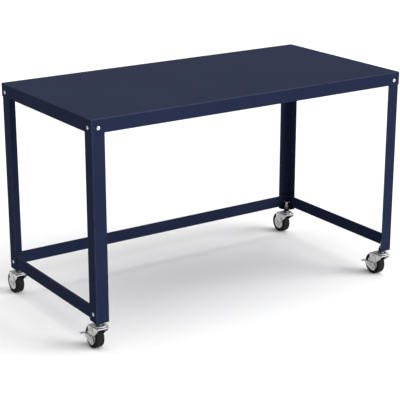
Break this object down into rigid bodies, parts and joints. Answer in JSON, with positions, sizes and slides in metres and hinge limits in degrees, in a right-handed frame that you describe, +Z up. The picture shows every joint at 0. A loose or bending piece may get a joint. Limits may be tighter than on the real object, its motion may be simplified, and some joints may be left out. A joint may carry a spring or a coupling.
{
  "type": "mobile computer desk",
  "caption": "Folded sheet-steel desk on angle legs with side and back rails and swivel stem casters; the front casters have brake levers.",
  "frame": {"origin": "on the floor, under the middle of the footprint with the rear casters trailing; the middle of the top is 22 mm in front of it", "axes": "+X along the desk's length towards the right end as seen by the sitter, +Y from the sitter towards the back rail, +Z up"},
  "size_m": [1.2333, 0.6582, 0.755],
  "materials": {
    "navy_paint": "smooth satin powder coat, dark navy blue",
    "screw_zinc": "bright zinc-plated steel, domed heads",
    "stem_zinc": "bright zinc-plated turned steel with rolled thread",
    "caster_zinc": "zinc-plated pressed steel, slightly cloudy",
    "ball_steel": "polished greased steel balls",
    "axle_zinc": "zinc-plated bolt, nut and tube",
    "lever_zinc": "zinc-plated pressed steel",
    "hub_plastic": "light grey moulded plastic",
    "tyre_rubber": "black rubber, smooth rounded tread"
  },
  "bodies": {
    "desk": {"desktop": "navy_paint", "top_stiffener": "navy_paint", "leg_front_left": "navy_paint", "leg_front_right": "navy_paint", "leg_rear_left": "navy_paint", "leg_rear_right": "navy_paint", "side_rail_left": "navy_paint", "side_rail_right": "navy_paint", "back_rail": "navy_paint", "socket_front_left": "navy_paint", "socket_front_right": "navy_paint", "socket_rear_left": "navy_paint", "socket_rear_right": "navy_paint", "top_screws": "screw_zinc", "rail_screws": "screw_zinc", "top_weld_nuts": "navy_paint", "rail_weld_nuts": "navy_paint", "stem_nuts": "screw_zinc", "stem_front_left": "stem_zinc", "stem_front_right": "stem_zinc", "stem_rear_left": "stem_zinc", "stem_rear_right": "stem_zinc", "cap_front_left": "caster_zinc", "cap_front_right": "caster_zinc", "cap_rear_left": "caster_zinc", "cap_rear_right": "caster_zinc"},
    "fork_front_left": {"fork_front_left": "caster_zinc", "balls_front_left": "ball_steel", "axle_front_left": "axle_zinc", "axle_nut_front_left": "axle_zinc", "spacer_front_left": "axle_zinc"},
    "wheel_front_left": {"hub_front_left": "hub_plastic", "tyre_front_left": "tyre_rubber"},
    "lever_front_left": {"brake_lever_front_left": "lever_zinc"},
    "fork_front_right": {"fork_front_right": "caster_zinc", "balls_front_right": "ball_steel", "axle_front_right": "axle_zinc", "axle_nut_front_right": "axle_zinc", "spacer_front_right": "axle_zinc"},
    "wheel_front_right": {"hub_front_right": "hub_plastic", "tyre_front_right": "tyre_rubber"},
    "lever_front_right": {"brake_lever_front_right": "lever_zinc"},
    "fork_rear_left": {"fork_rear_left": "caster_zinc", "balls_rear_left": "ball_steel", "axle_rear_left": "axle_zinc", "axle_nut_rear_left": "axle_zinc", "spacer_rear_left": "axle_zinc"},
    "wheel_rear_left": {"hub_rear_left": "hub_plastic", "tyre_rear_left": "tyre_rubber"},
    "fork_rear_right": {"fork_rear_right": "caster_zinc", "balls_rear_right": "ball_steel", "axle_rear_right": "axle_zinc", "axle_nut_rear_right": "axle_zinc", "spacer_rear_right": "axle_zinc"},
    "wheel_rear_right": {"hub_rear_right": "hub_plastic", "tyre_rear_right": "tyre_rubber"}
  },
  "joints": [
    {"name": "swivel_front_left", "type": "hinge", "parent": "desk", "child": "fork_front_left", "pos_m": [-0.5856, -0.30305, 0.0791], "axis": [0, 0, 1], "continuous": true},
    {"name": "wheel_spin_front_left", "type": "hinge", "parent": "fork_front_left", "child": "wheel_front_left", "pos_m": [-0.5856, -0.27105, 0.038], "axis": [1, 0, 0], "continuous": true},
    {"name": "brake_front_left", "type": "hinge", "parent": "fork_front_left", "child": "lever_front_left", "pos_m": [-0.5856, -0.27105, 0.038], "axis": [1, 0, 0], "range_deg": [-18, 0]},
    {"name": "swivel_front_right", "type": "hinge", "parent": "desk", "child": "fork_front_right", "pos_m": [0.5856, -0.30305, 0.0791], "axis": [0, 0, 1], "continuous": true},
    {"name": "wheel_spin_front_right", "type": "hinge", "parent": "fork_front_right", "child": "wheel_front_right", "pos_m": [0.5856, -0.27105, 0.038], "axis": [1, 0, 0], "continuous": true},
    {"name": "brake_front_right", "type": "hinge", "parent": "fork_front_right", "child": "lever_front_right", "pos_m": [0.5856, -0.27105, 0.038], "axis": [1, 0, 0], "range_deg": [-18, 0]},
    {"name": "swivel_rear_left", "type": "hinge", "parent": "desk", "child": "fork_rear_left", "pos_m": [-0.5856, 0.25915, 0.0791], "axis": [0, 0, 1], "continuous": true},
    {"name": "wheel_spin_rear_left", "type": "hinge", "parent": "fork_rear_left", "child": "wheel_rear_left", "pos_m": [-0.5856, 0.29115, 0.038], "axis": [1, 0, 0], "continuous": true},
    {"name": "swivel_rear_right", "type": "hinge", "parent": "desk", "child": "fork_rear_right", "pos_m": [0.5856, 0.25915, 0.0791], "axis": [0, 0, 1], "continuous": true},
    {"name": "wheel_spin_rear_right", "type": "hinge", "parent": "fork_rear_right", "child": "wheel_rear_right", "pos_m": [0.5856, 0.29115, 0.038], "axis": [1, 0, 0], "continuous": true}
  ]
}
